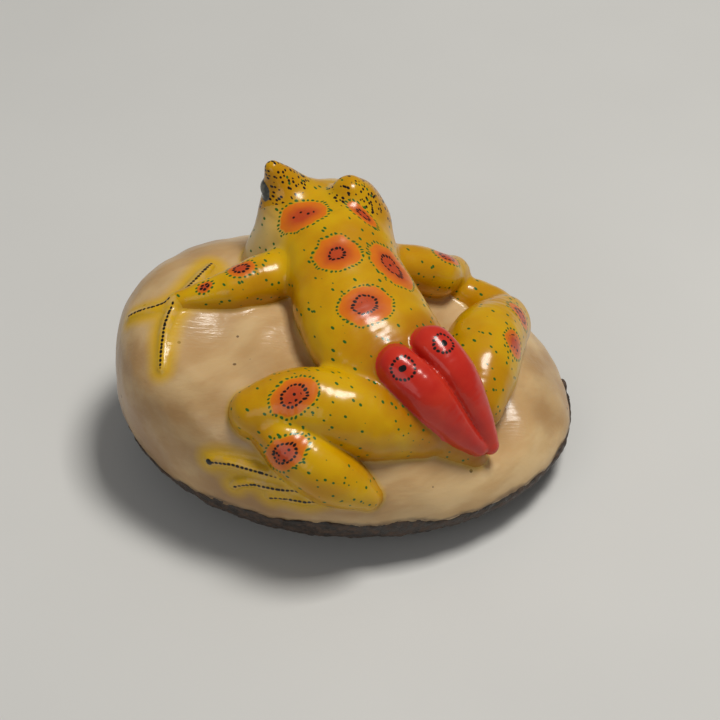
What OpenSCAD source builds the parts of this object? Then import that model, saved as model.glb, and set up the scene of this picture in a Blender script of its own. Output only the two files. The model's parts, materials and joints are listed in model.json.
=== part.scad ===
// A frog carved in relief on a polished palm nut, in millimetres.
// The frog faces +Y, its right side is +X and the nut rests on the plane Z = 0.
// Places on the nut are given as [u, v]: percent of its half length along its long axis and
// percent of its half width across it, both counted from the middle of the nut.

/* [Nut] */
// Length of the nut along its long axis
nut_length = 53.6; // [44:0.2:66]
// Width of the nut across its long axis
nut_width = 44; // [36:1:54]
// Turn of the long axis away from +X, in degrees
nut_turn = -40; // [-60:5:-20]
// Height of the widest line above the rest face, at the middle of the nut
waist_height = 7.5; // [6:0.5:11]
// How much lower the widest line is at the rear end than at the middle
waist_drop = 3; // [0:0.5:4]
// Height of the crown above the widest line, at the middle of the nut
crown_height = 11.5; // [9:0.5:15]
// How much lower the crown is at the rear end than at the middle
crown_drop = 3.5; // [0:0.5:5]
// Squareness of the crown's shoulder, where 2 is an ellipse
crown_square = 2.6; // [2:0.1:3.2]
// Length of the worn flat that the nut rests on
rest_length = 25; // [18:1:32]
// Width of the worn flat that the nut rests on
rest_width = 20; // [14:1:26]

/* [Seed coat] */
// Thickness of the dark seed coat left on the underside
coat_thickness = 1; // [0.6:0.1:1.8]
// How far up the coat reaches, in percent of the height of the widest line
coat_reach = 86; // [60:2:92]

/* [Trunk and head] */
// Width of the trunk
trunk_width = 14.2; // [11:0.2:17]
// Height of the trunk, its buried lower half included
trunk_height = 10; // [8:0.5:12]
// Width of the head
head_width = 14.6; // [12:0.2:18]
// Width of the raised mounds that carry the eyes
eye_mound_width = 6.8; // [5:0.2:8.4]
// Rise of the peaks of the eye mounds above the middle of the mounds
eye_mound_rise = 6; // [4:0.2:7]
// Width of the dark eye discs
eye_width = 2.6; // [2:0.2:3.4]
// Width of each red lobe on the rump
lobe_width = 5.8; // [4.6:0.2:7]

/* [Limbs] */
// Width of the upper arms
upper_arm_width = 5.8; // [4.6:0.2:7]
// Width of the forearms at the elbow
forearm_width = 4.4; // [3.4:0.2:5.4]
// Width of the carved fingers
finger_width = 1.3; // [1:0.1:1.8]
// Width of the thighs
thigh_width = 9.6; // [7.6:0.2:11.6]
// Width of the shanks
shank_width = 6.6; // [5.2:0.2:8]
// Width of the carved toes
toe_width = 1.5; // [1.1:0.1:2]

/* [Hidden] */
// Each carved piece gives way to the pieces named before it, so no two share any space.
NODES = [
    "left_hand", "right_hand", "left_foot", "right_foot",
    "left_forearm", "right_forearm", "left_shank", "right_shank",
    "left_upper_arm", "right_upper_arm", "left_thigh", "right_thigh",
    "left_eye", "right_eye", "left_eye_mound", "right_eye_mound",
    "left_rump_lobe", "right_rump_lobe", "head", "trunk",
    "nut_base", "seed_coat"
];

// Facets of a ball in a finger or toe, in a limb, and of the wider sections of the body
digit_facets = 8;
limb_facets = 14;
body_facets = 20;
// Curve steps between two hand-placed sections of a limb
limb_steps = 2;
// Points around the nut, and rings in its coat, its lower flank and its crown
nut_sides = 40;
coat_rings = 5;
flank_rings = 2;
crown_rings = 9;
// Change of the crown's squareness from the middle to the rear end
crown_square_drop = 0.7;

// The nut's surface

function squareness(u) = crown_square - crown_square_drop * u;
function waist(u) = waist_height - waist_drop * u;
function crown(u) = crown_height - crown_drop * u;
function dome(r, p) = pow(max(0, 1 - pow(r, p)), 1 / p);
function ground(u, v) = waist(u) + crown(u) * dome(min(1, norm([u, v])), squareness(u));
function place(u, v, lift) = [
    u / 100 * nut_length / 2,
    v / 100 * nut_width / 2,
    ground(u / 100, v / 100) + lift
];

// A ring of the crown, at the share r of the nut's half sizes
function crown_ring(r) = [
    for (i = [0 : nut_sides - 1])
        let (a = 360 * i / nut_sides)
            place(100 * r * cos(a), 100 * r * sin(a), 0)
];

// A ring of the underside, where s runs from 0 at the flat to 1 at the widest line and
// inset is the depth below the outer surface
function under_ring(s, inset) = [
    for (i = [0 : nut_sides - 1])
        let (
            a = 360 * i / nut_sides,
            x = rest_length / 2 + (nut_length - rest_length) / 2 * s - inset,
            y = rest_width / 2 + (nut_width - rest_width) / 2 * s - inset,
            rise = 1 - sqrt(1 - s * s)
        )
            [x * cos(a), y * sin(a), inset + (waist(cos(a)) - inset) * rise]
];

lip = sqrt(1 - pow(1 - coat_reach / 100, 2));
coat_levels = [for (i = [0 : coat_rings]) lip * sin(90 * i / coat_rings)];
flank_levels = [for (i = [0 : flank_rings]) lip + (1 - lip) * i / flank_rings];
crown_levels = [for (i = [1 : crown_rings - 1]) cos(90 * i / crown_rings)];

coat_outside = [for (s = coat_levels) under_ring(s, 0)];
coat_inside = [for (s = coat_levels) under_ring(s, coat_thickness)];
flank = [for (s = flank_levels) under_ring(s, 0)];
crown_surface = [for (r = crown_levels) crown_ring(r)];

function reversed(list) = [for (i = [len(list) - 1 : -1 : 0]) list[i]];
function middle(ring) = [for (k = [0 : 2]) [for (p = ring) p[k]] * [for (p = ring) 1 / len(ring)]];

// A closed solid through a stack of rings that all have nut_sides points. From the ring
// numbered turned, its walls are split into triangles along the other diagonal, so that they
// match the walls of a solid that runs through the same rings the other way.
module stack(rings, turned = undef) {
    last = len(rings) - 1;
    turn = is_undef(turned) ? last : turned;
    low = len(rings) * nut_sides;
    points = concat([for (ring = rings) each ring], [middle(rings[0]), middle(rings[last])]);
    walls = [
        for (j = [0 : last - 1], i = [0 : nut_sides - 1])
            let (k = (i + 1) % nut_sides, a = j * nut_sides, b = (j + 1) * nut_sides)
                each j < turn
                    ? [[a + i, b + i, b + k], [a + i, b + k, a + k]]
                    : [[a + i, b + i, a + k], [b + i, b + k, a + k]]
    ];
    caps = [
        for (i = [0 : nut_sides - 1])
            let (k = (i + 1) % nut_sides, top = last * nut_sides)
                each [[i, k, low], [top + k, top + i, low + 1]]
    ];
    polyhedron(points, concat(walls, caps), convexity = 4);
}

module kernel_body() {
    stack(concat(coat_inside, flank, crown_surface));
}

module coat_body() {
    stack(concat(coat_outside, reversed(coat_inside)), len(coat_outside) - 1);
}

// The frog's members

// Each section of a limb is [u, v, lift, girth]: lift and girth are shares of its half width.
function between(a, b, c, d, t) = 0.5 * (
    2 * b + (c - a) * t + (2 * a - 5 * b + 4 * c - d) * t * t + (3 * b - a - 3 * c + d) * t * t * t
);
function curve(list) = [
    for (i = [0 : len(list) - 2], k = [0 : limb_steps - 1])
        between(
            list[max(i - 1, 0)], list[i], list[i + 1], list[min(i + 2, len(list) - 1)],
            k / limb_steps
        ),
    list[len(list) - 1]
];

module limb(sections, width, facets = limb_facets) {
    path = curve(sections);
    for (i = [0 : len(path) - 2])
        hull()
            for (p = [path[i], path[i + 1]])
                translate(place(p[0], p[1], p[2] * width / 2))
                    sphere(d = width * p[3], $fn = facets);
}

// Each section of the body is [u, v, lift in mm, share of width, share of height].
module body(sections, width, height) {
    for (i = [0 : len(sections) - 2])
        hull()
            for (p = [sections[i], sections[i + 1]])
                translate(place(p[0], p[1], p[2]))
                    rotate(-nut_turn)
                        scale([width * p[3], height * p[4], height * p[4]])
                            sphere(d = 1, $fn = body_facets);
}

left_wrist = [-71, -4, 0.2, 1];
right_wrist = [50, 69, 0.2, 1];
left_instep = [-6, -97, 0.2, 1];
right_instep = [55, 54, 0.2, 1];
left_knee = [-36, -72, 0.1, 0.6];
right_knee = [69, 25, 0.2, 0.75];

module digit(root, bend, tip, width) {
    limb([root, bend, tip], width, digit_facets);
}

module left_hand_body() {
    digit(left_wrist, [-64, 12, 0, 0.9], [-58, 29, 0, 0.5], finger_width);
    digit(left_wrist, [-80, -7, 0, 0.9], [-91, -5, 0, 0.5], finger_width);
    digit(left_wrist, [-75, -20, 0, 0.9], [-76, -44, 0, 0.5], finger_width);
}

module right_hand_body() {
    digit(right_wrist, [42, 79, 0, 0.9], [32, 86, 0, 0.5], finger_width);
    digit(right_wrist, [47, 80, 0, 0.9], [42, 89, 0, 0.5], finger_width);
    digit(right_wrist, [53, 78, 0, 0.9], [53, 84, 0, 0.5], finger_width);
}

module left_foot_body() {
    digit(left_instep, [-33, -91, 0, 0.9], [-55, -82, 0, 0.6], toe_width);
    digit(left_instep, [-26, -95, 0, 0.9], [-45, -89, 0, 0.6], toe_width);
    digit(left_instep, [-15, -98, 0, 0.9], [-30, -95, 0, 0.6], toe_width);
}

module right_foot_body() {
    digit(right_instep, [61, 64, 0, 0.9], [60, 75, 0, 0.6], toe_width);
    digit(right_instep, [65, 61, 0, 0.9], [70, 66, 0, 0.6], toe_width);
    digit(right_instep, [68, 55, 0, 0.9], [77, 56, 0, 0.6], toe_width);
}

module left_forearm_body() {
    limb([[-48, 3, 0.4, 1], [-59, -1, 0.3, 0.75], [-71, -4, 0.1, 0.4]], forearm_width);
}

module right_forearm_body() {
    limb([[41, 45, 0.9, 1], [48, 56, 0.9, 0.95], [50, 69, 0.2, 0.5]], forearm_width);
}

module left_shank_body() {
    limb([left_knee, [-20, -87, 0.2, 0.95], [-5, -94, 0.1, 0.98], [10, -97, 0, 0.45]], shank_width);
}

module right_shank_body() {
    limb([right_knee, [67, 37, 0.2, 0.85], [60, 46, 0.1, 0.75], [52, 49, 0.1, 0.55]], shank_width);
}

module left_upper_arm_body() {
    limb([[-16, 23, 0.9, 0.68], [-33, 12, 0.6, 0.98], [-48, 3, 0.3, 0.76]], upper_arm_width);
}

module right_upper_arm_body() {
    limb([[15, 35, 1, 0.88], [30, 40, 0.9, 0.98], [41, 44, 0.8, 0.88]], upper_arm_width);
}

module left_thigh_body() {
    limb([[30, -66, 0.1, 0.7], [6, -70, 0.2, 0.95], [-16, -68, 0.2, 0.88], left_knee], thigh_width);
}

module right_thigh_body() {
    limb([[56, -41, 0.1, 0.65], [58, -22, 0.2, 0.9], [61, 0, 0.2, 0.95], right_knee], thigh_width);
}

module left_eye_body() {
    limb([[-33, 57, 6.8, 0.7], [-33, 54, 6.8, 0.95], [-33, 51, 6.2, 0.7]], eye_width);
}

module right_eye_body() {
    limb([[10, 64, 6, 0.7], [12, 61, 6.2, 1], [14, 58, 6, 0.7]], eye_width);
}

module eye_mound(u, v, lift, tip_u, tip_v, tip_girth) {
    base = place(u, v, lift);
    peak = place(tip_u, tip_v, 0);
    hull() {
        translate(base)
            sphere(d = eye_mound_width, $fn = body_facets);
        translate([peak.x, peak.y, base.z + eye_mound_rise - tip_girth * eye_mound_width / 2])
            sphere(d = tip_girth * eye_mound_width, $fn = limb_facets);
    }
}

module left_eye_mound_body() {
    eye_mound(-24, 55, 6.2, -31, 55, 0.28);
}

module right_eye_mound_body() {
    eye_mound(6, 49, 6.8, 2, 50, 0.6);
}

module left_rump_lobe_body() {
    limb([[22, -56, 2.1, 0.85], [34, -64, 1.9, 1.02], [47, -68, 1.2, 0.74], [57, -69, 0.8, 0.45]],
         lobe_width);
}

module right_rump_lobe_body() {
    limb([[36, -43, 2.4, 0.92], [44, -53, 2.1, 1.05], [53, -61, 1.4, 0.76], [60, -67, 0.8, 0.45]],
         lobe_width);
}

module head_body() {
    body([[-3, 32, 4.2, 0.92, 0.98], [-11, 50, 4.2, 1.04, 1], [-12, 70, 3.4, 0.85, 0.85],
          [-13, 82, 2.8, 0.5, 0.6]], head_width, trunk_height);
    body([[-18, 52, 5, 0.8, 0.85], [-26, 44, 0.6, 0.78, 0.9]], head_width, trunk_height);
}

module trunk_body() {
    body([[52, -63, -1.2, 0.3, 0.45], [36, -54, 1.4, 0.82, 0.8], [19, -37, 2.6, 1.04, 0.95],
          [7, -13, 3.2, 1.08, 1], [-1, 17, 4, 0.97, 1], [-3, 36, 4.2, 0.76, 0.82]],
         trunk_width, trunk_height);
}

// The uncut form of the piece with this name
module form(name) {
    if (name == "left_hand") left_hand_body();
    if (name == "right_hand") right_hand_body();
    if (name == "left_foot") left_foot_body();
    if (name == "right_foot") right_foot_body();
    if (name == "left_forearm") left_forearm_body();
    if (name == "right_forearm") right_forearm_body();
    if (name == "left_shank") left_shank_body();
    if (name == "right_shank") right_shank_body();
    if (name == "left_upper_arm") left_upper_arm_body();
    if (name == "right_upper_arm") right_upper_arm_body();
    if (name == "left_thigh") left_thigh_body();
    if (name == "right_thigh") right_thigh_body();
    if (name == "left_eye") left_eye_body();
    if (name == "right_eye") right_eye_body();
    if (name == "left_eye_mound") left_eye_mound_body();
    if (name == "right_eye_mound") right_eye_mound_body();
    if (name == "left_rump_lobe") left_rump_lobe_body();
    if (name == "right_rump_lobe") right_rump_lobe_body();
    if (name == "head") head_body();
    if (name == "trunk") trunk_body();
    if (name == "nut_base") kernel_body();
}

// The piece with this name, cut back by every piece named before it
module carved(name) {
    rank = search([name], NODES)[0];
    rotate(nut_turn)
        difference() {
            form(name);
            for (i = [0 : 1 : rank - 1])
                form(NODES[i]);
        }
}

module left_hand() color("khaki") carved("left_hand");
module right_hand() color("khaki") carved("right_hand");
module left_foot() color("khaki") carved("left_foot");
module right_foot() color("khaki") carved("right_foot");
module left_forearm() color("gold") carved("left_forearm");
module right_forearm() color("gold") carved("right_forearm");
module left_shank() color("gold") carved("left_shank");
module right_shank() color("gold") carved("right_shank");
module left_upper_arm() color("gold") carved("left_upper_arm");
module right_upper_arm() color("gold") carved("right_upper_arm");
module left_thigh() color("gold") carved("left_thigh");
module right_thigh() color("gold") carved("right_thigh");
module left_eye() color("dimgray") carved("left_eye");
module right_eye() color("dimgray") carved("right_eye");
module left_eye_mound() color("goldenrod") carved("left_eye_mound");
module right_eye_mound() color("goldenrod") carved("right_eye_mound");
module left_rump_lobe() color("firebrick") carved("left_rump_lobe");
module right_rump_lobe() color("firebrick") carved("right_rump_lobe");
module head() color("gold") carved("head");
module trunk() color("gold") carved("trunk");
module nut_base() color("wheat") carved("nut_base");
module seed_coat() color("saddlebrown") rotate(nut_turn) coat_body();

left_hand();
right_hand();
left_foot();
right_foot();
left_forearm();
right_forearm();
left_shank();
right_shank();
left_upper_arm();
right_upper_arm();
left_thigh();
right_thigh();
left_eye();
right_eye();
left_eye_mound();
right_eye_mound();
left_rump_lobe();
right_rump_lobe();
head();
trunk();
nut_base();
seed_coat();
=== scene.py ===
import json
import math

import bpy
import numpy as np
from mathutils import Matrix, Vector


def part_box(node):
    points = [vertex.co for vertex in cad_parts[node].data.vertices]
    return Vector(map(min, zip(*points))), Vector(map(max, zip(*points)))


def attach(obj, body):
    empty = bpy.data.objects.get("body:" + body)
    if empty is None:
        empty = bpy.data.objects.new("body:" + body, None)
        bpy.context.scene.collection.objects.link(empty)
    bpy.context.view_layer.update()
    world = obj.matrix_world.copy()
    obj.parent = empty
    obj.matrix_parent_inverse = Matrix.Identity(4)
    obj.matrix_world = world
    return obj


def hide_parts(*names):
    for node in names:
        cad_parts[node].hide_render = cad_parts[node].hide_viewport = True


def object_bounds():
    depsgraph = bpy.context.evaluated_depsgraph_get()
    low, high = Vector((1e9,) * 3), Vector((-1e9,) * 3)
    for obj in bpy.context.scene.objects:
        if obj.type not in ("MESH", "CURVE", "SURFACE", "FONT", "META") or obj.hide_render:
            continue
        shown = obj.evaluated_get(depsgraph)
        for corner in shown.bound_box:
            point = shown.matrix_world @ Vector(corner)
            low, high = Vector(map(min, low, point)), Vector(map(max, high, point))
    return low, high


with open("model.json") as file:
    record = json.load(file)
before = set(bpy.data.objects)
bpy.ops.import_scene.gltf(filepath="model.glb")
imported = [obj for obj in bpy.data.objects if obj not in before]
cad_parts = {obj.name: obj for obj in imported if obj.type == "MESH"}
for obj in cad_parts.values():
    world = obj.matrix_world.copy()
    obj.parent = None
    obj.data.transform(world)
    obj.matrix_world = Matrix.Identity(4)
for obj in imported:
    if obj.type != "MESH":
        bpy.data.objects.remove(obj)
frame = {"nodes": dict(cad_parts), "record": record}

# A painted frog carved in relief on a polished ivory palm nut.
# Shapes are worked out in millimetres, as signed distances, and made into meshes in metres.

CAD_BOX = [[float(c) for c in corner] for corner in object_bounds()]
MM = 0.001
FAR = 4.0          # distance, mm, given to points that are nowhere near a member
GRID = 0.25        # spacing of the carving's grid, mm
WIDE_GRID = 0.3    # the same for the two large plain pieces

# ---------------------------------------------------------------------------
# The nut, measured from the CAD frame
# ---------------------------------------------------------------------------

NUT_TURN = math.radians(-40)                  # long axis, counted from +X
LONG_AXIS = np.array([math.cos(NUT_TURN), math.sin(NUT_TURN), 0.0])
WIDE_AXIS = np.array([-math.sin(NUT_TURN), math.cos(NUT_TURN), 0.0])


def node_points(name):
    """A CAD node's vertices, in millimetres."""
    mesh = frame["nodes"][name].data
    flat = np.empty(len(mesh.vertices) * 3, np.float64)
    mesh.vertices.foreach_get("co", flat)
    return flat.reshape(-1, 3) / MM


base_points = node_points("nut_base")
along = base_points @ LONG_AXIS
across = base_points @ WIDE_AXIS
HALF_LENGTH = float(along.max())
HALF_WIDTH = float(across.max())
FRONT_WAIST = float(base_points[along.argmin(), 2])
REAR_WAIST = float(base_points[along.argmax(), 2])
WAIST = (FRONT_WAIST + REAR_WAIST) / 2
WAIST_DROP = (FRONT_WAIST - REAR_WAIST) / 2
COAT = float(base_points[:, 2].min())         # the kernel's underside is one coat thickness up
flat_points = base_points[base_points[:, 2] < COAT + 0.01]
REST_SHARE = (float((flat_points @ LONG_AXIS).max()) + COAT) / HALF_LENGTH
HEIGHT = CAD_BOX[1][2] / MM
CROWN = 0.358 * HEIGHT
CROWN_DROP = 0.109 * HEIGHT
SQUARE = 2.6
SQUARE_DROP = 0.7


def on_nut(points):
    """Shares of the nut's half length and half width at which points lie."""
    return points @ LONG_AXIS / HALF_LENGTH, points @ WIDE_AXIS / HALF_WIDTH


def ground(u, v):
    """Height of the uncarved nut's upper surface at shares u, v of its half sizes."""
    square = SQUARE - SQUARE_DROP * u
    r = np.minimum(np.hypot(u, v), 1.0)
    dome = np.maximum(0.0, 1 - r ** square) ** (1 / square)
    return WAIST - WAIST_DROP * u + (CROWN - CROWN_DROP * u) * dome


def place(u, v, lift=0.0):
    """The point at u, v percent of the nut's half sizes, lift mm above its surface."""
    u, v = u / 100, v / 100
    point = LONG_AXIS * u * HALF_LENGTH + WIDE_AXIS * v * HALF_WIDTH
    point[2] = float(ground(np.array(u), np.array(v))) + lift
    return point


# ---------------------------------------------------------------------------
# Signed distances
# ---------------------------------------------------------------------------

def smooth_min(a, b, k):
    """The lesser of two distances, with a fillet of size k between them."""
    h = np.maximum(k - np.abs(a - b), 0.0) / k
    return np.minimum(a, b) - h * h * k / 4


def smooth_max(a, b, k):
    """The greater of two distances, with a fillet of size k between them."""
    return -smooth_min(-a, -b, k)


def waves(points, length, seed, count=7):
    """Smooth unevenness between about -1 and 1, with features of about this length in mm."""
    rng = np.random.default_rng(seed)
    total = np.zeros(len(points), np.float32)
    for _ in range(count):
        direction = rng.normal(size=3)
        direction *= 2 * math.pi / (length * rng.uniform(0.7, 1.5)) / np.linalg.norm(direction)
        total += np.sin(points @ direction.astype(np.float32) + np.float32(rng.uniform(0, 7)))
    return total / math.sqrt(count)


def spline(sections, steps):
    """A smooth curve through given sections, each a row of numbers."""
    rows = np.array(sections, float)
    padded = np.vstack([rows[:1], rows, rows[-1:]])
    out = []
    for i in range(len(rows) - 1):
        a, b, c, d = padded[i:i + 4]
        for t in np.linspace(0, 1, steps, endpoint=False):
            out.append(0.5 * (2 * b + (c - a) * t + (2 * a - 5 * b + 4 * c - d) * t * t
                              + (3 * b - a - 3 * c + d) * t ** 3))
    out.append(rows[-1])
    return np.array(out)


class Member:
    """A member of the frog: a run of round or flattened sections along a curve."""

    def __init__(self, sections, width, height=None, steps=8):
        self.rows = []
        for u, v, lift, girth, *rest in spline(sections, steps):
            half = width / 2 * girth
            rise = height / 2 * rest[0] if height else half
            offset = lift if height else lift * width / 2
            self.rows.append((place(u, v, offset), half, rise))
        reach = max(max(r[1], r[2]) for r in self.rows) + FAR
        centres = np.array([r[0] for r in self.rows])
        self.low, self.high = centres.min(0) - reach, centres.max(0) + reach

    def distance(self, points):
        out = np.full(len(points), FAR, np.float32)
        near = np.all((points > self.low) & (points < self.high), axis=1)
        if not near.any():
            return out
        p = points[near]
        best = np.full(len(p), 1e3, np.float32)
        for (a, half_a, rise_a), (b, half_b, rise_b) in zip(self.rows, self.rows[1:]):
            step = (b - a).astype(np.float32)
            t = np.clip((p - a.astype(np.float32)) @ step / max(step @ step, 1e-9), 0, 1)
            q = p - (a.astype(np.float32) + t[:, None] * step)
            half = half_a + (half_b - half_a) * t
            rise = rise_a + (rise_b - rise_a) * t
            if abs(half_a - rise_a) < 1e-6 and abs(half_b - rise_b) < 1e-6:
                d = np.sqrt((q * q).sum(1)) - half
            else:
                size = np.sqrt((q[:, 0] / half) ** 2 + (q[:, 1] / rise) ** 2 + (q[:, 2] / rise) ** 2)
                d = (size - 1) * np.minimum(half, rise)
            best = np.minimum(best, d)
        out[near] = np.minimum(best, FAR)
        return out


def nut_level(points):
    """Negative inside the uncarved nut, zero on its surface, with no even scale."""
    u, v = on_nut(points)
    z = points[:, 2] - (WAIST - WAIST_DROP * u)
    r = np.hypot(u, v)
    square = np.clip(SQUARE - SQUARE_DROP * u, 1.6, 3.6)
    crown = np.maximum(CROWN - CROWN_DROP * u, 4.0)
    waist = np.maximum(WAIST - WAIST_DROP * u, 3.0)
    above = (r ** square + np.maximum(z / crown, 0) ** square) ** (1 / square) - 1
    inner = np.maximum(r - REST_SHARE, 0) / (1 - REST_SHARE)
    below = (np.sqrt(inner ** 2 + np.minimum(z / waist, 0) ** 2) - 1) * (1 - REST_SHARE)
    return np.where(z > 0, above, below)


def nut_distance(points):
    """Distance to the uncarved nut's surface, in mm, good near the surface."""
    step = 0.05
    level = nut_level(points)
    slope = np.zeros(len(points))
    for axis in range(3):
        moved = points.copy()
        moved[:, axis] += step
        slope += ((nut_level(moved) - level) / step) ** 2
    return (level / np.maximum(np.sqrt(slope), 0.02)).astype(np.float32)


# ---------------------------------------------------------------------------
# The frog's members: sections are [u, v, lift, girth], as shares of the half width
# ---------------------------------------------------------------------------

TRUNK_WIDTH, TRUNK_HEIGHT = 14.2, 10.0
HEAD_WIDTH = 14.6
EYE_MOUND_WIDTH = 6.8
EYE_WIDTH = 2.6
LOBE_WIDTH = 5.8
UPPER_ARM_WIDTH, FOREARM_WIDTH, FINGER_WIDTH = 5.8, 4.4, 1.3
THIGH_WIDTH, SHANK_WIDTH, TOE_WIDTH = 9.6, 6.6, 1.5

LEFT_WRIST = [-71, -4, 0.2, 1]
RIGHT_WRIST = [50, 69, 0.2, 1]
LEFT_INSTEP = [-6, -97, 0.2, 1]
RIGHT_INSTEP = [55, 54, 0.2, 1]
LEFT_KNEE = [-36, -72, 0.1, 0.6]
RIGHT_KNEE = [69, 25, 0.2, 0.75]


def digits(root, bends, tips, width, tip_girth):
    return [Member([root, bend + [-0.1, 0.9], tip + [-0.2, tip_girth]], width)
            for bend, tip in zip(bends, tips)]


MEMBERS = {
    "left_hand": digits(LEFT_WRIST, [[-64, 12], [-80, -7], [-75, -20]],
                        [[-58, 29], [-91, -5], [-76, -44]], FINGER_WIDTH, 0.5),
    "right_hand": digits(RIGHT_WRIST, [[42, 79], [47, 80], [53, 78]],
                         [[32, 86], [42, 89], [53, 84]], FINGER_WIDTH, 0.5),
    "left_foot": digits(LEFT_INSTEP, [[-33, -91], [-26, -95], [-15, -98]],
                        [[-55, -82], [-45, -89], [-30, -95]], TOE_WIDTH, 0.6),
    "right_foot": digits(RIGHT_INSTEP, [[61, 64], [65, 61], [68, 55]],
                         [[60, 75], [70, 66], [77, 56]], TOE_WIDTH, 0.6),
    "left_forearm": [Member([[-46, 4, 0.4, 1.02], [-59, -1, 0.3, 0.75], [-71, -4, 0.1, 0.4]],
                            FOREARM_WIDTH)],
    "right_forearm": [Member([[40, 44, 0.9, 1.05], [48, 56, 0.9, 0.95], [50, 69, 0.2, 0.5]],
                             FOREARM_WIDTH)],
    "left_shank": [Member([LEFT_KNEE, [-20, -87, 0.2, 0.95], [-5, -94, 0.1, 0.98], [10, -97, 0, 0.45]],
                          SHANK_WIDTH)],
    "right_shank": [Member([RIGHT_KNEE, [67, 37, 0.2, 0.85], [60, 46, 0.1, 0.75], [52, 49, 0.1, 0.55]],
                           SHANK_WIDTH)],
    "left_upper_arm": [Member([[-16, 23, 0.9, 0.66], [-33, 12, 0.6, 0.98], [-48, 3, 0.3, 0.76]],
                              UPPER_ARM_WIDTH)],
    "right_upper_arm": [Member([[15, 35, 1, 0.85], [30, 40, 0.9, 0.98], [41, 44, 0.8, 0.88]],
                               UPPER_ARM_WIDTH)],
    "left_thigh": [Member([[30, -66, 0.1, 0.7], [6, -70, 0.2, 0.95], [-16, -68, 0.2, 0.88], LEFT_KNEE],
                          THIGH_WIDTH)],
    "right_thigh": [Member([[56, -41, 0.1, 0.65], [58, -22, 0.2, 0.9], [61, 0, 0.2, 0.95], RIGHT_KNEE],
                           THIGH_WIDTH)],
    "left_eye": [Member([[-32, 57, 6.8, 0.7], [-32, 54, 6.8, 0.95], [-32, 51, 6.2, 0.7]], EYE_WIDTH)],
    "right_eye": [Member([[10, 64, 5.4, 0.7], [12, 61, 5.6, 1], [14, 58, 5.4, 0.7]], EYE_WIDTH)],
    "left_rump_lobe": [Member([[22, -56, 2.1, 0.85], [34, -64, 1.9, 1.02], [47, -68, 1.2, 0.74],
                               [57, -69, 0.8, 0.45]], LOBE_WIDTH)],
    "right_rump_lobe": [Member([[36, -43, 2.4, 0.92], [44, -53, 2.1, 1.05], [53, -61, 1.4, 0.76],
                                [60, -67, 0.8, 0.45]], LOBE_WIDTH)],
    "left_eye_mound": [Member([[-24, 55, 6.4, 1, 1], [-27, 56, 9.2, 0.66, 0.64], [-31, 55, 11.5, 0.28, 0.28]],
                              EYE_MOUND_WIDTH, EYE_MOUND_WIDTH)],
    "right_eye_mound": [Member([[6, 49, 7.2, 1, 1], [4, 50, 8.8, 0.95, 0.85], [2, 50, 10.2, 0.62, 0.62]],
                               EYE_MOUND_WIDTH, EYE_MOUND_WIDTH)],
    "head": [Member([[-3, 32, 4.2, 0.9, 0.98], [-11, 50, 4.2, 1.04, 1], [-12, 70, 3.4, 0.85, 0.85],
                     [-13, 82, 2.8, 0.5, 0.6]], HEAD_WIDTH, TRUNK_HEIGHT),
             Member([[-18, 52, 5, 0.8, 0.85], [-25, 45, 0.6, 0.78, 0.9]], HEAD_WIDTH, TRUNK_HEIGHT)],
    "trunk": [Member([[52, -63, -1.2, 0.3, 0.45], [36, -54, 1.4, 0.82, 0.8], [19, -37, 2.6, 1.04, 0.95],
                      [7, -13, 3.2, 1.08, 1], [-1, 17, 4, 0.97, 1], [-4, 36, 4.4, 0.85, 0.95]],
                     TRUNK_WIDTH, TRUNK_HEIGHT)],
}
DIGITS = ["left_hand", "right_hand", "left_foot", "right_foot"]

# Hollows scooped from the ivory: [u, v, height of the centre above the surface, radius]
SCOOPS = [
    [-48, -36, 9.0, 10.2],
    [-16, -36, 6.0, 6.9],
    [52, 24, 5.0, 5.9],
    [70, -50, 11.0, 11.8],
    [-40, 34, 8.0, 8.7],
]


# Fillets between neighbours, mm
SCOOP_FILLET = 1.5
BEND_FILLET = 0.9          # between the members of one piece
NECK_FILLET = 2.5
LEFT_MOUND_FILLET, RIGHT_MOUND_FILLET = 1.6, 1.2
ELBOW_FILLET, SHOULDER_FILLET = 0.8, 1.0
KNEE_FILLET, HIP_FILLET = 0.5, 0.9
LOBE_FILLET = 0.4
EYE_FILLET = 0.15
DIGIT_FILLET = 0.7
FROG_FILLET = 0.8          # between the frog and the nut

# The groove between the two rump lobes, mm
SEAM_DEPTH, SEAM_WIDTH = 0.38, 0.55


def scooped(points, base):
    """The nut's distance after the hollows are taken out of it."""
    for u, v, lift, radius in SCOOPS:
        centre = place(u, v, lift).astype(np.float32)
        ball = np.sqrt(((points - centre) ** 2).sum(1)) - radius
        base = smooth_max(base, -ball, SCOOP_FILLET)
    return base


def member_distance(name, points):
    """Distance to a whole piece, from its one or more members."""
    best = None
    for member in MEMBERS[name]:
        d = member.distance(points)
        best = d if best is None else smooth_min(best, d, BEND_FILLET)
    return best


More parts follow.
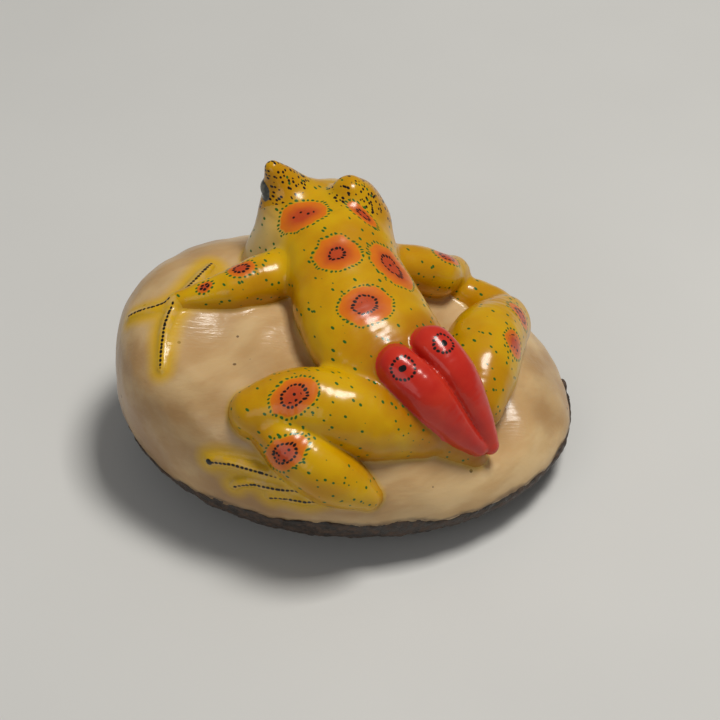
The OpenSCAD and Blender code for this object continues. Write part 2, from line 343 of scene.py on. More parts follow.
def carving(points):
    """(distance to the carved surface, distance to each member alone) at these points."""
    points = points.astype(np.float32)
    d = {name: member_distance(name, points) for name in MEMBERS}
    unevenness = 0.05 * waves(points, 5.0, 3) + 0.02 * waves(points, 2.2, 4)
    base = nut_distance(points) + 0.10 * waves(points, 9.0, 1) + 0.03 * waves(points, 3.0, 2)
    base = scooped(points, base)
    d["nut_base"] = base
    body = smooth_min(d["trunk"], d["head"], NECK_FILLET)
    body = smooth_min(body, d["left_eye_mound"], LEFT_MOUND_FILLET)
    body = smooth_min(body, d["right_eye_mound"], RIGHT_MOUND_FILLET)
    for side in ("left", "right"):
        arm = smooth_min(d[side + "_upper_arm"], d[side + "_forearm"], ELBOW_FILLET)
        body = smooth_min(body, arm, SHOULDER_FILLET)
        leg = smooth_min(d[side + "_thigh"], d[side + "_shank"], KNEE_FILLET)
        body = smooth_min(body, leg, HIP_FILLET)
    seam = (d["left_rump_lobe"] - d["right_rump_lobe"]) / SEAM_WIDTH
    lobes = np.minimum(d["left_rump_lobe"], d["right_rump_lobe"]) + SEAM_DEPTH * np.exp(-seam * seam)
    body = smooth_min(body, lobes, LOBE_FILLET) + unevenness
    for side in ("left", "right"):
        body = smooth_min(body, d[side + "_eye"], EYE_FILLET)
    for name in DIGITS:
        base = smooth_min(base, d[name] + 0.5 * unevenness, DIGIT_FILLET)
    return smooth_min(base, body, FROG_FILLET), d


# ---------------------------------------------------------------------------
# The seed coat, a thin shell with a broken upper edge
# ---------------------------------------------------------------------------

def lip_height(points):
    """Height of the coat's broken upper edge around the nut."""
    u, v = on_nut(points)
    r = np.maximum(np.hypot(u, v), 1e-3)
    rear = np.clip(0.7 * u / r - 0.3 * v / r, -1, 1)
    ragged = 0.30 * waves(points, 5.0, 21) + 0.10 * waves(points, 1.8, 22)
    return (WAIST - WAIST_DROP * u / r) * (0.86 + 0.30 * rear) + ragged


COAT_PROUD = 0.13          # how far the coat stands out from the kernel, mm
COAT_LIP_FILLET = 0.25


def coat_distance(points):
    """Distance to the thin seed coat."""
    points = points.astype(np.float32)
    nut = nut_distance(points)
    rough = 0.07 * waves(points, 3.0, 23) + 0.05 * waves(points, 1.2, 24)
    roughness = rough * np.clip(points[:, 2] / 2, 0, 1)
    shell = np.maximum(nut - COAT_PROUD - roughness, -(nut + 1.4 * COAT))
    shell = smooth_max(shell, points[:, 2] - lip_height(points), COAT_LIP_FILLET)
    return np.maximum(shell, -points[:, 2])


# ---------------------------------------------------------------------------
# Pieces: each is the carved solid, ending just under its neighbours
# ---------------------------------------------------------------------------

DIVE = 0.5                 # how steeply a piece's surface dips under its neighbour's, per mm
SLAB_POINTS = 300000       # grid points worked out at a time
BOX_MARGIN = 1.5           # room left around a piece's box, mm


def piece_distance(name, points):
    """Distance to the carving, pushed below the surface where a neighbour is nearer."""
    whole, d = carving(points)
    own = d[name]
    others = np.full(len(points), FAR, np.float32)
    for other, distance in d.items():
        if other != name:
            others = np.minimum(others, distance)
    outside = np.maximum(own - others, 0)
    solid = whole + DIVE * outside ** 2
    if name == "nut_base":
        under = np.clip(lip_height(points) - 0.25 - points[:, 2], 0, 1)
        solid = np.maximum(solid + 0.45 * COAT * under, COAT * 0.6 - points[:, 2])
    return solid


def lattice(low, high, step):
    """Grid coordinates along each axis that cover a box, on one shared lattice."""
    return [np.arange(math.floor(a / step), math.ceil(b / step) + 1) * step for a, b in zip(low, high)]


def sample(field, axes):
    """The field at every grid point, worked out in slabs."""
    nx, ny, nz = map(len, axes)
    out = np.empty((nx, ny, nz), np.float32)
    plane = np.stack(np.meshgrid(axes[1], axes[2], indexing="ij"), -1).reshape(-1, 2)
    slab = max(1, SLAB_POINTS // len(plane))
    for i in range(0, nx, slab):
        xs = axes[0][i:i + slab]
        points = np.empty((len(xs) * len(plane), 3), np.float32)
        points[:, 0] = np.repeat(xs, len(plane))
        points[:, 1:] = np.tile(plane, (len(xs), 1))
        out[i:i + len(xs)] = field(points).reshape(len(xs), ny, nz)
    return out


CORNERS = [(i, j, k) for i in (0, 1) for j in (0, 1) for k in (0, 1)]
EDGES = [(a, b) for a in range(8) for b in range(a + 1, 8)
         if sum(abs(CORNERS[a][k] - CORNERS[b][k]) for k in range(3)) == 1]


def net(values, axes):
    """Vertices and four-sided faces of the surface where values cross zero."""
    inside = values < 0
    shape = tuple(n - 1 for n in values.shape)

    def corner(array, c):
        return array[c[0]:c[0] + shape[0], c[1]:c[1] + shape[1], c[2]:c[2] + shape[2]]

    count = np.zeros(shape, np.int8)
    for c in CORNERS:
        count += corner(inside, c)
    cells = np.argwhere((count > 0) & (count < 8))
    at_corner = [values[tuple((cells + c).T)] for c in CORNERS]
    total = np.zeros((len(cells), 3))
    crossings = np.zeros(len(cells))
    for a, b in EDGES:
        fa, fb = at_corner[a], at_corner[b]
        crossed = (fa < 0) != (fb < 0)
        t = np.where(crossed, fa / np.where(crossed, fa - fb, 1), 0)
        ca, cb = np.array(CORNERS[a], float), np.array(CORNERS[b], float)
        total += crossed[:, None] * (ca + t[:, None] * (cb - ca))
        crossings += crossed
    step = axes[0][1] - axes[0][0]
    origin = np.array([axis[0] for axis in axes])
    vertices = origin + (cells + total / crossings[:, None]) * step
    index = np.full(shape, -1, np.int64)
    index[tuple(cells.T)] = np.arange(len(cells))
    faces = []
    for axis in range(3):
        b, c = (axis + 1) % 3, (axis + 2) % 3
        low = np.take(inside, range(inside.shape[axis] - 1), axis)
        high = np.take(inside, range(1, inside.shape[axis]), axis)
        for flip, crossed in ((False, low & ~high), (True, ~low & high)):
            edge = np.argwhere(crossed)
            edge = edge[(edge[:, b] > 0) & (edge[:, c] > 0)]
            edge = edge[(edge[:, b] < shape[b]) & (edge[:, c] < shape[c])]
            ring = []
            for db, dc in ((1, 1), (0, 1), (0, 0), (1, 0)):
                cell = edge.copy()
                cell[:, b] -= db
                cell[:, c] -= dc
                ring.append(index[tuple(cell.T)])
            ring = np.stack(ring, 1)
            faces.append(ring[:, ::-1] if flip else ring)
    return vertices, np.concatenate(faces)


def gradient(field, points, step=0.03):
    """Slope of a field at points, by central differences."""
    slope = np.empty((len(points), 3))
    for axis in range(3):
        shift = np.zeros(3)
        shift[axis] = step
        slope[:, axis] = (field(points + shift) - field(points - shift)) / (2 * step)
    return slope


def settle(field, points, limit):
    """Moves net vertices onto the surface itself, by no more than limit mm."""
    for _ in range(2):
        slope = gradient(field, points)
        length2 = np.maximum((slope * slope).sum(1), 0.05)
        move = -slope * (field(points) / length2)[:, None]
        size = np.linalg.norm(move, axis=1)
        points = points + move * np.minimum(1, limit / np.maximum(size, 1e-9))[:, None]
    return points


def largest(vertices, faces):
    """Keeps only the largest joined-up part of a net. Smaller parts are dropped."""
    label = np.arange(len(vertices))
    while True:
        low = label[faces].min(1)
        new = label.copy()
        for k in range(4):
            np.minimum.at(new, faces[:, k], low)
        new = new[new]
        if (new == label).all():
            break
        label = new
    kinds, counts = np.unique(label[faces[:, 0]], return_counts=True)
    keep = label == kinds[counts.argmax()]
    renumber = np.cumsum(keep) - 1
    return vertices[keep], renumber[faces[keep[faces[:, 0]]]]


def piece_box(name):
    """Corners of the space in which a piece can lie, in mm."""
    low, high = [np.array(corner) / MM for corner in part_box(name)]
    for member in MEMBERS.get(name, []):
        low = np.minimum(low, member.low + FAR)
        high = np.maximum(high, member.high - FAR)
    return low - BOX_MARGIN, high + BOX_MARGIN


def build_piece(name, field, low, high, step, material):
    """Makes one closed piece from its field, in place of the CAD node of this name."""
    axes = lattice(low, high, step)
    vertices, faces = net(sample(field, axes), axes)
    vertices, faces = largest(vertices, faces)
    vertices = settle(field, vertices, 0.3 * step)
    mesh = bpy.data.meshes.new(name + "_carved")
    mesh.from_pydata((vertices * MM).tolist(), [], faces.tolist())
    mesh.shade_smooth()
    mesh.materials.append(material)
    piece = bpy.data.objects.new(name + "_carved", mesh)
    bpy.context.scene.collection.objects.link(piece)
    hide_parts(name)
    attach(piece, "root")
    return piece


# ---------------------------------------------------------------------------
# Node helpers
# ---------------------------------------------------------------------------

class Graph:
    """Short ways to add and link shader nodes in one tree."""

    def __init__(self, tree):
        self.tree = tree

    def feed(self, socket, value):
        if isinstance(value, bpy.types.NodeSocket):
            self.tree.links.new(value, socket)
        else:
            socket.default_value = value

    def add(self, kind, inputs=None, **settings):
        node = self.tree.nodes.new("ShaderNode" + kind)
        for key, value in settings.items():
            setattr(node, key, value)
        for key, value in (inputs or {}).items():
            self.feed(node.inputs[key], value)
        return node

    def math(self, operation, a, b=0.0, c=0.0, clamp=False):
        return self.add("Math", {0: a, 1: b, 2: c}, operation=operation, use_clamp=clamp).outputs[0]

    def vector(self, operation, a, b=(0, 0, 0)):
        node = self.add("VectorMath", {0: a, 1: b}, operation=operation)
        return node.outputs["Value" if operation in ("LENGTH", "DOT_PRODUCT", "DISTANCE") else "Vector"]

    def scaled(self, vector, factor):
        return self.add("VectorMath", {0: vector, "Scale": factor}, operation="SCALE").outputs[0]

    def mix(self, factor, a, b):
        node = self.add("Mix", {0: factor, 6: a, 7: b}, data_type="RGBA")
        return node.outputs[2]

    def ramp(self, value, low, high, out_low=0.0, out_high=1.0):
        """A smooth step from out_low at low to out_high at high."""
        node = self.add("MapRange", {0: value, 1: low, 2: high, 3: out_low, 4: out_high},
                        interpolation_type="SMOOTHSTEP")
        return node.outputs[0]

    def noise(self, vector, size, detail=2.0, output=0):
        """Noise with features of about this size in mm."""
        node = self.add("TexNoise", {"Vector": vector, "Scale": 1 / size, "Detail": detail})
        return node.outputs[output]

    def any_of(self, masks):
        total = masks[0]
        for mask in masks[1:]:
            total = self.math("MAXIMUM", total, mask)
        return total


def colour(red, green, blue):
    return (red, green, blue, 1.0)


def new_material(name):
    """A material, its graph, its shader node and its coordinates in mm."""
    material = bpy.data.materials.new(name)
    material.use_nodes = True
    material.node_tree.nodes.clear()
    g = Graph(material.node_tree)
    shader = g.add("BsdfPrincipled")
    output = g.add("OutputMaterial", {0: shader.outputs[0]})
    output.is_active_output = True
    where = g.scaled(g.add("TexCoord").outputs["Object"], 1 / MM)
    return material, g, shader, where


def group_of(name, inputs, outputs):
    """A node group with these input kinds and output names, and its input and output nodes."""
    tree = bpy.data.node_groups.new(name, "ShaderNodeTree")
    for key, kind in inputs.items():
        tree.interface.new_socket(key, in_out="INPUT", socket_type="NodeSocket" + kind)
    for key in outputs:
        tree.interface.new_socket(key, in_out="OUTPUT", socket_type="NodeSocketFloat")
    return Graph(tree), tree.nodes.new("NodeGroupInput").outputs, tree.nodes.new("NodeGroupOutput").inputs


def use_group(g, group, inputs):
    node = g.tree.nodes.new("ShaderNodeGroup")
    node.node_tree = group
    for key, value in inputs.items():
        g.feed(node.inputs[key], value)
    return node.outputs


# ---------------------------------------------------------------------------
# Pen marks
# ---------------------------------------------------------------------------

INK = 0.17          # radius of a pen dot, mm
INK_GAP = 0.52      # pitch of the dots in a dotted line, mm
BLOT = 0.42         # radius of the blot at the first toe's tip, mm
SPOT_DEPTH = 2.5    # how far above and below its centre a spot is painted, mm


def dotted_ring(g, across, radius, size, gap, dot):
    """Dots around an ellipse: across is in half sizes, size is the mean half size in mm."""
    parts = g.add("SeparateXYZ", {0: across}).outputs
    angle = g.math("ARCTAN2", parts[1], parts[0])
    length = g.math("MULTIPLY", g.math("MULTIPLY", size, radius), 2 * math.pi)
    round_count = g.math("MAXIMUM", g.math("ROUND", g.math("DIVIDE", length, gap)), 5.0)
    turns = g.math("MULTIPLY", angle, g.math("DIVIDE", round_count, 2 * math.pi))
    offset = g.math("SUBTRACT", g.math("FRACT", g.math("ADD", turns, 100.5)), 0.5)
    along_ring = g.math("MULTIPLY", offset, gap)
    flat = g.add("CombineXYZ", {0: parts[0], 1: parts[1]}).outputs[0]
    out = g.math("MULTIPLY", g.math("SUBTRACT", g.vector("LENGTH", flat), radius), size)
    distance = g.math("POWER", g.math("ADD", g.math("MULTIPLY", along_ring, along_ring),
                                      g.math("MULTIPLY", out, out)), 0.5)
    return g.ramp(distance, g.math("SUBTRACT", dot, 0.05), g.math("ADD", dot, 0.04), 1.0, 0.0)


def make_spot_group():
    """A painted spot: its fill, its green dotted outline and its black inner dots."""
    g, given, out = group_of("Spot", {"Where": "Vector", "Centre": "Vector", "Turn": "Vector",
                                      "Half sizes": "Vector", "Size": "Float", "Inner": "Float",
                                      "Scatter": "Float", "Middle dot": "Float",
                                      "Wobble": "Vector", "Strewn": "Float"},
                             ["Fill", "Heart", "Outline", "Dots"])
    moved = g.vector("SUBTRACT", given["Where"], given["Centre"])
    back = g.add("VectorRotate", {"Vector": moved, "Rotation": given["Turn"]}, rotation_type="EULER_XYZ",
                 invert=True)
    across = g.vector("DIVIDE", back.outputs[0], given["Half sizes"])
    across = g.vector("ADD", across, given["Wobble"])
    parts = g.add("SeparateXYZ", {0: across}).outputs
    flat = g.add("CombineXYZ", {0: parts[0], 1: parts[1]}).outputs[0]
    radius = g.vector("LENGTH", flat)
    near = g.math("LESS_THAN", g.math("ABSOLUTE", parts[2]), 1.0)
    g.feed(out["Fill"], g.math("MULTIPLY", g.ramp(radius, 0.90, 1.0, 1.0, 0.0), near))
    g.feed(out["Heart"], g.ramp(radius, 0.25, 0.95, 1.0, 0.0))
    ring = dotted_ring(g, across, 1.04, given["Size"], INK_GAP, 0.16)
    g.feed(out["Outline"], g.math("MULTIPLY", ring, near))
    inner = g.math("MULTIPLY", dotted_ring(g, across, given["Inner"], given["Size"], 0.46, 0.19),
                   g.math("GREATER_THAN", given["Inner"], 0.05))
    strewn = g.math("MULTIPLY", given["Strewn"], g.math("LESS_THAN", radius, given["Scatter"]))
    middle = g.math("LESS_THAN", g.math("MULTIPLY", radius, given["Size"]), given["Middle dot"])
    g.feed(out["Dots"], g.math("MULTIPLY", g.any_of([inner, strewn, middle]), near))
    return g.tree


def spot_noises(g, where):
    """The unevenness of every spot's outline, and the dots strewn in the middle of spots."""
    wobble = g.scaled(g.vector("SUBTRACT", g.noise(where, 1.5, 1.0, 1), (0.5, 0.5, 0.5)), 0.34)
    cells = g.add("TexVoronoi", {"Vector": where, "Scale": 1 / 0.62, "Randomness": 0.9})
    strewn = g.ramp(cells.outputs["Distance"], 0.24, 0.36, 1.0, 0.0)
    return {"Wobble": wobble, "Strewn": strewn}


def make_line_group():
    """A dotted pen line between two points on the surface."""
    g, given, out = group_of("Pen line", {"Where": "Vector", "From": "Vector", "To": "Vector",
                                          "Gap": "Float", "Dot": "Float", "Wobble": "Float"},
                             ["Ink"])
    run = g.vector("SUBTRACT", given["To"], given["From"])
    length = g.vector("LENGTH", run)
    rel = g.vector("SUBTRACT", given["Where"], given["From"])
    t = g.math("DIVIDE", g.vector("DOT_PRODUCT", rel, run), g.math("MULTIPLY", length, length), clamp=True)
    away = g.vector("DISTANCE", rel, g.scaled(run, t))
    beat = g.math("DIVIDE", g.math("MULTIPLY", t, length), given["Gap"])
    step = g.math("MULTIPLY", g.math("SUBTRACT", g.math("FRACT", beat), 0.5),
                  g.math("MULTIPLY", given["Gap"], 0.72))
    squares = g.math("ADD", g.math("MULTIPLY", away, away), g.math("MULTIPLY", step, step))
    distance = g.math("ADD", g.math("POWER", squares, 0.5), given["Wobble"])
    g.feed(out["Ink"], g.ramp(distance, g.math("SUBTRACT", given["Dot"], 0.04),
                              g.math("ADD", given["Dot"], 0.04), 1.0, 0.0))
    return g.tree


def surface_points(places):
    """Points and normals where plumb lines at these u, v percents first meet the carving."""
    heights = np.arange(HEIGHT + 3, 2, -0.05)
    points, normals = [], []
    for u, v in places:
        top = place(u, v)
        column = np.repeat(top[None], len(heights), 0)
        column[:, 2] = heights
        found = column[(carving(column)[0] < 0).argmax()]
        points.append(found)
    points = np.array(points)
    slope = gradient(lambda p: carving(p)[0], points, 0.15)
    normals = slope / np.linalg.norm(slope, axis=1)[:, None]
    return points, normals


# Painted spots: [u, v, half length, half width, turn from the frog's heading in degrees,
#                 inner ring, scatter of inner dots, middle dot]
SPOTS = [
    [-18, 33, 3.1, 2.1, 62, 0.0, 0.42, 0.0],
    [8, 33, 2.3, 0.85, 20, 0.4, 0.2, 0.0],
    [-3, 4, 2.7, 2.5, 60, 0.34, 0.30, 0.0],
    [20, 3, 3.6, 2.3, 10, 0.42, 0.28, 0.0],
    [9, -28, 3.1, 2.6, 70, 0.45, 0.20, 0.0],
    [-44, 6, 1.7, 1.2, 60, 0.5, 0.5, 0.0],
    [-59, -3, 1.0, 0.7, 75, 0.4, 0.6, 0.0],
    [45, 47, 2.2, 1.2, 80, 0.5, 0.4, 0.0],
    [77, 15, 2.0, 1.3, 20, 0.5, 0.5, 0.0],
    [73, -13, 1.9, 1.7, 0, 0.0, 0.70, 0.0],
    [-20, -78, 2.9, 2.1, 75, 0.52, 0.34, 0.0],
    [-24, -98, 2.6, 1.8, 60, 0.55, 0.55, 0.0],
]
LOBE_SPOTS = [
    [24, -65, 1.4, 1.4, 0, 0.92, 0.0, 0.40],
    [41, -49, 1.25, 1.25, 0, 0.92, 0.0, 0.38],
]


def spot_inputs(rows):
    """Inputs of the Spot group for each row, on the carved surface."""
    points, normals = surface_points([row[:2] for row in rows])
    out = []
    settings = [row[2:] for row in rows]
    for (long, wide, turn, inner, scatter, middle), centre, normal in zip(settings, points, normals):
        up = Vector(normal)
        heading = Vector((0, 1, 0))
        tangent = (heading - up * heading.dot(up)).normalized()
        tangent = Matrix.Rotation(math.radians(turn), 3, up) @ tangent
        side = up.cross(tangent)
        turned = Matrix((tangent, side, up)).transposed().to_euler("XYZ")
        out.append({"Centre": tuple(centre), "Turn": tuple(turned), "Half sizes": (long, wide, SPOT_DEPTH),
                    "Size": (long + wide) / 2, "Inner": inner, "Scatter": scatter, "Middle dot": middle})
    return out


# ---------------------------------------------------------------------------
# Materials
# ---------------------------------------------------------------------------

YELLOW = colour(0.53, 0.25, 0.0005)
LEMON = colour(0.63, 0.365, 0.001)
# Painted shade: the amber that darkens the yellow skin in its hollows.
SHADE_AMBER = colour(0.36, 0.105, 0.0005)
THIN_DYE = colour(0.60, 0.46, 0.20)
ORANGE = colour(0.68, 0.17, 0.006)
RED = colour(0.48, 0.060, 0.014)
LOBE_RED = colour(0.52, 0.022, 0.012)
# Painted shade: the deep red that darkens the rump lobes where they meet the nut.
SHADE_RED = colour(0.22, 0.004, 0.003)
GREEN = colour(0.02, 0.12, 0.015)
BLACK = colour(0.006, 0.006, 0.006)
IVORY = colour(0.56, 0.36, 0.165)
PALE_IVORY = colour(0.67, 0.475, 0.245)
# Brown for the ivory's patchy tone, its browner lower end, and painted shade close around the frog.
BROWN = colour(0.29, 0.15, 0.055)
PORE = colour(0.05, 0.03, 0.018)
COAT_BROWN = colour(0.020, 0.013, 0.009)


def lacquer(shader, roughness, glow, radius=(1.0, 0.5, 0.25), gloss=0.17):
    """Clear lacquer over a slightly translucent body."""
    shader.inputs["Specular IOR Level"].default_value = 0.1
    shader.inputs["Roughness"].default_value = roughness
    shader.inputs["Coat Weight"].default_value = 0.55
    shader.inputs["Coat Roughness"].default_value = gloss
    shader.inputs["Coat IOR"].default_value = 1.5
    shader.inputs["Subsurface Weight"].default_value = glow
    shader.inputs["Subsurface Radius"].default_value = radius
    shader.inputs["Subsurface Scale"].default_value = 0.0012


def bump(g, shader, height, depth):
    """Relief of the lacquered surface, depth in mm."""
    node = g.add("Bump", {"Height": height, "Distance": depth * MM, "Strength": 1.0})
    g.feed(shader.inputs["Normal"], node.outputs[0])
    g.feed(shader.inputs["Coat Normal"], node.outputs[0])


def carved_relief(g, where):
    """Faint knife flats and brush marks under the lacquer."""
    broad = g.noise(where, 2.6, 2.0)
    fine = g.noise(where, 0.5, 2.0)
    return g.math("ADD", g.math("MULTIPLY", broad, 0.8), g.math("MULTIPLY", fine, 0.2))


def specks(g, where, pitch, size, keep):
    """Strewn dots: pitch between them and their size in mm, keep is the share that shows."""
    cells = g.add("TexVoronoi", {"Vector": where, "Scale": 1 / pitch, "Randomness": 1.0})
    chance = g.add("SeparateXYZ", {0: cells.outputs["Color"]}).outputs[0]
    edge = size / pitch
    dots = g.ramp(cells.outputs["Distance"], edge * 0.75, edge, 1.0, 0.0)
    return g.math("MULTIPLY", dots, g.math("LESS_THAN", chance, keep))


def attribute(g, name):
    return g.add("Attribute", attribute_name=name, attribute_type="GEOMETRY").outputs["Fac"]


def skin_colour(g, where):
    """Yellow dye, darkened to amber in the hollows as painted shade, and paler where the dye is thin."""
    patchy = g.ramp(g.noise(where, 6.0, 2.0), 0.35, 0.7)
    tint = g.mix(patchy, YELLOW, LEMON)
    # Painted shade: amber where the skin meets the nut and beside the rump lobes.
    tint = g.mix(attribute(g, "painted_shade"), tint, SHADE_AMBER)
    return g.mix(attribute(g, "thin_dye"), tint, THIN_DYE)


def paint_spots(g, where, tint, rows):
    noises = spot_noises(g, where)
    for inputs in rows:
        marks = use_group(g, SPOT, {"Where": where, **inputs, **noises})
        tint = g.mix(marks["Fill"], tint, g.mix(marks["Heart"], ORANGE, RED))
        tint = g.mix(marks["Outline"], tint, GREEN)
        tint = g.mix(marks["Dots"], tint, BLACK)
    return tint


def make_skin(name, rows, black_pitch=None):
    material, g, shader, where = new_material(name)
    tint = skin_colour(g, where)
    stretched = g.vector("MULTIPLY", where, (1.0, 0.55, 1.0))
    tint = g.mix(specks(g, stretched, 0.85, 0.18, 0.95), tint, GREEN)
    if black_pitch:
        rows_of = g.vector("MULTIPLY", where, (1.0, 0.6, 1.0))
        tint = g.mix(specks(g, rows_of, black_pitch, 0.18, 1.0), tint, BLACK)
    tint = paint_spots(g, where, tint, rows)
    g.feed(shader.inputs["Base Color"], tint)
    lacquer(shader, 0.32, 0.15)
    bump(g, shader, carved_relief(g, where), 0.035)
    return material


def make_lobe_red():
    material, g, shader, where = new_material("red_lobe")
    patchy = g.ramp(g.noise(where, 3.0, 2.0), 0.35, 0.7)
    tint = g.mix(patchy, LOBE_RED, colour(0.58, 0.035, 0.016))
    # Painted shade: deeper red where the lobes meet the nut.
    tint = g.mix(attribute(g, "painted_shade"), tint, SHADE_RED)
    noises = spot_noises(g, where)
    for inputs in spot_inputs(LOBE_SPOTS):
        marks = use_group(g, SPOT, {"Where": where, **inputs, **noises})
        tint = g.mix(marks["Dots"], tint, BLACK)
    g.feed(shader.inputs["Base Color"], tint)
    lacquer(shader, 0.3, 0.12)
    bump(g, shader, carved_relief(g, where), 0.03)
    return material


def digit_crests(name):
    """Points on the carved surface along the crest of each digit of a hand or foot."""
    crests = []
    for member in MEMBERS[name]:
        rows = member.rows
        picks = [2, len(rows) // 3, len(rows) // 2, 3 * len(rows) // 4, len(rows) - 1]
        points = np.array([rows[i][0] for i in picks])
        outward = gradient(nut_distance, points.astype(np.float32), 0.2)
        outward /= np.linalg.norm(outward, axis=1)[:, None]
        points = points + outward * np.array([[rows[i][1]] for i in picks])
        for _ in range(4):
            points = settle(lambda p: carving(p)[0], points, 0.5)
        crests.append(points)
    return crests


def crest_lines(g, where, crests, gap, dot):
    """Dotted pen lines along crests, and the blot at the first toe's tip."""
    wobble = g.math("MULTIPLY", g.math("SUBTRACT", g.noise(where, 0.6, 1.0), 0.5), 0.12)
    masks = []
    for crest in crests:
        for a, b in zip(crest, crest[1:]):
            masks.append(use_group(g, LINE, {"Where": where, "From": tuple(a), "To": tuple(b),
                                             "Gap": gap, "Dot": dot, "Wobble": wobble})["Ink"])
    blot = g.vector("DISTANCE", where, tuple(FIRST_TOE_TIP))
    masks.append(g.ramp(g.math("ADD", blot, wobble), BLOT - 0.05, BLOT + 0.05, 1.0, 0.0))
    return g.any_of(masks)


def ivory_colour(g, where):
    grain = g.noise(g.vector("MULTIPLY", where, (0.35, 1.0, 1.6)), 3.5, 3.0)
    tint = g.mix(g.ramp(grain, 0.35, 0.68), IVORY, PALE_IVORY)
    brown_tone = g.ramp(g.noise(where, 14.0, 2.0), 0.52, 0.75)
    tint = g.mix(g.math("MULTIPLY", brown_tone, 0.6), tint, BROWN)
    pores = g.math("MULTIPLY", specks(g, where, 2.7, 0.24, 0.5), 0.8)
    return g.mix(pores, tint, PORE)


def make_ivory():
    material, g, shader, where = new_material("nut_ivory")
    tint = ivory_colour(g, where)
    # Painted shade: browner ivory close around the frog.
    tint = g.mix(g.math("MULTIPLY", attribute(g, "painted_shade"), 0.22), tint, BROWN)
    # Browner towards the bottom and towards the negative-u end of the nut.
    tint = g.mix(g.math("MULTIPLY", attribute(g, "brown_tone"), 0.8), tint, BROWN)
    tint = g.mix(g.math("MULTIPLY", attribute(g, "dye"), 0.85), tint, LEMON)
    tint = g.mix(attribute(g, "coat_edge"), tint, colour(0.10, 0.06, 0.035))
    tint = g.mix(crest_lines(g, where, CRESTS, INK_GAP, INK), tint, BLACK)
    g.feed(shader.inputs["Base Color"], tint)
    lacquer(shader, 0.42, 0.25, (1.0, 0.7, 0.45), 0.2)
    turned = g.add("VectorRotate", {"Vector": where, "Angle": math.radians(35)}, rotation_type="Z_AXIS")
    scratches = g.noise(g.vector("MULTIPLY", turned.outputs[0], (0.12, 1.5, 1.5)), 0.6, 3.0)
    height = g.math("ADD", g.math("MULTIPLY", carved_relief(g, where), 0.6),
                    g.math("MULTIPLY", scratches, 0.4))
    bump(g, shader, height, 0.11)
    return material


def make_digit_tint():
    material, g, shader, where = new_material("tinted_ivory")
    tint = g.mix(g.ramp(g.noise(where, 1.2, 2.0), 0.3, 0.6, 0.55, 0.95), ivory_colour(g, where), LEMON)
    tint = g.mix(crest_lines(g, where, CRESTS, INK_GAP, INK), tint, BLACK)
    g.feed(shader.inputs["Base Color"], tint)
    lacquer(shader, 0.34, 0.2)
    bump(g, shader, carved_relief(g, where), 0.03)
    return material


def make_eye_grey():
    material, g, shader, where = new_material("eye_grey")
    blotch = g.ramp(g.noise(where, 0.8, 2.0), 0.4, 0.6)
    g.feed(shader.inputs["Base Color"], g.mix(blotch, colour(0.06, 0.065, 0.062), colour(0.15, 0.15, 0.13)))
    lacquer(shader, 0.25, 0.0)
    bump(g, shader, carved_relief(g, where), 0.02)
    return material


def make_coat():
    material, g, shader, where = new_material("seed_coat")
    flakes = g.noise(where, 0.9, 4.0)
    tint = g.mix(g.ramp(flakes, 0.35, 0.7), COAT_BROWN, colour(0.085, 0.050, 0.032))
    g.feed(shader.inputs["Base Color"], tint)
    g.feed(shader.inputs["Roughness"], g.ramp(flakes, 0.3, 0.7, 0.35, 0.7))
    bump(g, shader, g.math("ADD", flakes, g.math("MULTIPLY", g.noise(where, 0.3, 3.0), 0.4)), 0.22)
    return material


def make_floor():
    material, g, shader, where = new_material("pale_floor")
    tint = g.mix(g.noise(where, 40.0, 3.0), colour(0.60, 0.60, 0.59), colour(0.66, 0.66, 0.65))
    g.feed(shader.inputs["Base Color"], tint)
    shader.inputs["Roughness"].default_value = 0.75
    return material


# ---------------------------------------------------------------------------
# Building the pieces
# ---------------------------------------------------------------------------

def mark(piece, name, values):
    """Stores one number per vertex for the materials to read."""
    layer = piece.data.attributes.new(name, "FLOAT", "POINT")
    layer.data.foreach_set("value", values.astype(np.float32))


def crest_distance(points, crest):
    """Distance in mm from points to the line through a digit's crest points."""
    nearest = np.full(len(points), np.inf)
    for a, b in zip(crest, crest[1:]):
        along = np.clip((points - a) @ (b - a) / ((b - a) @ (b - a)), 0, 1)
        nearest = np.minimum(nearest, np.linalg.norm(points - a - along[:, None] * (b - a), axis=1))
    return nearest


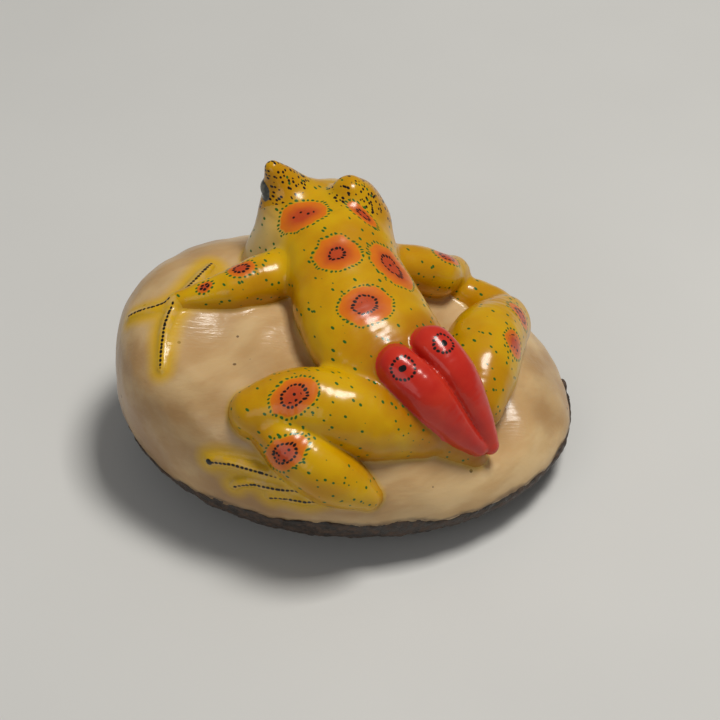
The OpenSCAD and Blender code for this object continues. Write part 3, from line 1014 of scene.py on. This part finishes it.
def mark_carving(piece, name):
    """Marks painted shade in the hollows between members and around the frog, and on the ivory the dye, a
    browner lower end and the coat's edge.
    """
    flat = np.empty(len(piece.data.vertices) * 3)
    piece.data.vertices.foreach_get("co", flat)
    points = (flat.reshape(-1, 3) / MM).astype(np.float32)
    d = carving(points)[1]
    frog = np.minimum.reduce([d[n] for n in MEMBERS if n not in DIGITS])
    fingers = np.minimum.reduce([d[n] for n in DIGITS])
    if name == "nut_base":
        # Painted shade on the ivory, strongest right against the frog's members.
        mark(piece, "painted_shade", np.clip(1 - frog / 1.1, 0, 1) ** 2)
        dye = np.maximum(np.clip(1 - frog / 0.7, 0, 1), np.clip(1.45 - fingers / 1.3, 0, 1))
        wide = np.clip(2 - 2 * crest_distance(points, FIRST_FINGER) / FIRST_FINGER_TINT, 0, 1)
        mark(piece, "dye", np.maximum(dye, wide))
        u = on_nut(points)[0]
        # Browner and darker towards the bottom and towards the nut's negative-u end, varied by slow waves.
        low_left = np.clip(1.15 - points[:, 2] / 20, 0, 1) * np.clip(0.55 - u, 0, 1)
        brown_tone = (low_left + 0.2 * np.clip(0.3 - u, 0, 1)) * (1 + 0.35 * waves(points, 7.0, 31))
        mark(piece, "brown_tone", np.clip(brown_tone, 0, 1))
        above_lip = points[:, 2] - lip_height(points)
        mark(piece, "coat_edge", np.clip(1 - np.abs(above_lip) / 0.35, 0, 1) * 0.8)
    elif name == "head":
        cheek = np.linalg.norm((points - place(-44, 38, 3.5)) / (3.2, 4.5, 4.5), axis=1)
        mark(piece, "thin_dye", np.clip(1.6 - cheek, 0, 1) * 0.85)
    else:
        lobes = np.minimum(d["left_rump_lobe"], d["right_rump_lobe"])
        # Painted shade: darker where a piece nears the nut, and beside the rump lobes except on the lobes
        # themselves.
        beside_nut = np.clip(1 - d["nut_base"] / 1.4, 0, 1) ** 1.5 * 0.55
        beside_lobes = np.clip(1 - lobes / 3.0, 0, 1) * 0.8
        mark(piece, "painted_shade", np.maximum(beside_nut, 0 if name.endswith("lobe") else beside_lobes))


SPOT = make_spot_group()
LINE = make_line_group()
skin_rows = spot_inputs(SPOTS)
CRESTS_OF = {name: digit_crests(name) for name in DIGITS}
CRESTS = [crest for crests in CRESTS_OF.values() for crest in crests]
FIRST_FINGER = CRESTS_OF["left_hand"][0]
FIRST_TOE_TIP = CRESTS_OF["left_foot"][0][-1]
FIRST_FINGER_TINT = 2.9     # how far the yellow spreads from the first finger's crest, mm
SLOTS = {row["node"]: row["material_slot"] for row in frame["record"]["subparts"]}
MATERIALS = {
    "yellow_skin": make_skin("yellow_skin", skin_rows),
    "red_lobe": make_lobe_red(),
    "nut_ivory": make_ivory(),
    "tinted_ivory": make_digit_tint(),
    "eye_grey": make_eye_grey(),
    "seed_coat": make_coat(),
}
mound_skin = make_skin("mound_skin", skin_rows[:2], 0.46)

coarser = 1
for name in list(MEMBERS) + ["nut_base"]:
    low, high = piece_box(name)
    material = mound_skin if name.endswith("eye_mound") else MATERIALS[SLOTS[name]]
    carved = build_piece(name, lambda p, n=name: piece_distance(n, p), low, high,
                         coarser * (WIDE_GRID if name == "nut_base" else GRID), material)
    mark_carving(carved, name)

low, high = [np.array(corner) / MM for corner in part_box("seed_coat")]
build_piece("seed_coat", coat_distance, low - 1.0, high + 1.0, coarser * WIDE_GRID, MATERIALS["seed_coat"])


# ---------------------------------------------------------------------------
# Floor, light and camera
# ---------------------------------------------------------------------------

CAMERA_AZIMUTH, CAMERA_ELEVATION = math.radians(-40), math.radians(42)
CAMERA_LENS = 111.0
CAMERA_DISTANCE = 260 * MM
CAMERA_TARGET = Vector((1.4, -1.1, 12.0)) * MM


def make_stage():
    bpy.ops.mesh.primitive_plane_add(size=3.0)
    floor = bpy.context.object
    floor.name = "floor"
    floor.data.materials.append(make_floor())


def area_light(name, place_mm, size_mm, power, tint=(1, 1, 1)):
    data = bpy.data.lights.new(name, "AREA")
    data.shape = "RECTANGLE"
    data.size, data.size_y = size_mm[0] * MM, size_mm[1] * MM
    data.energy = power
    data.color = tint
    light = bpy.data.objects.new(name, data)
    light.location = Vector(place_mm) * MM
    light.rotation_euler = (CAMERA_TARGET - light.location).to_track_quat("-Z", "Y").to_euler()
    bpy.context.scene.collection.objects.link(light)


def make_lights():
    area_light("softbox", (110, -60, 450), (150, 120), 1.6, (1.0, 0.97, 0.91))
    area_light("left_fill", (-330, -120, 200), (260, 200), 0.2)
    world = bpy.data.worlds.new("studio")
    world.use_nodes = True
    world.node_tree.nodes["Background"].inputs["Color"].default_value = (0.86, 0.86, 0.84, 1)
    world.node_tree.nodes["Background"].inputs["Strength"].default_value = 0.19
    bpy.context.scene.world = world
    bpy.context.scene.view_settings.view_transform = "Standard"


def make_camera():
    data = bpy.data.cameras.new("camera")
    data.lens = CAMERA_LENS
    data.sensor_width = 36.0
    data.clip_start = 0.01
    camera = bpy.data.objects.new("camera", data)
    back = Vector((math.sin(CAMERA_AZIMUTH) * math.cos(CAMERA_ELEVATION),
                   -math.cos(CAMERA_AZIMUTH) * math.cos(CAMERA_ELEVATION),
                   math.sin(CAMERA_ELEVATION)))
    camera.location = CAMERA_TARGET + back * CAMERA_DISTANCE
    camera.rotation_euler = (-back).to_track_quat("-Z", "Y").to_euler()
    bpy.context.scene.collection.objects.link(camera)
    bpy.context.scene.camera = camera


make_stage()
make_lights()
make_camera()
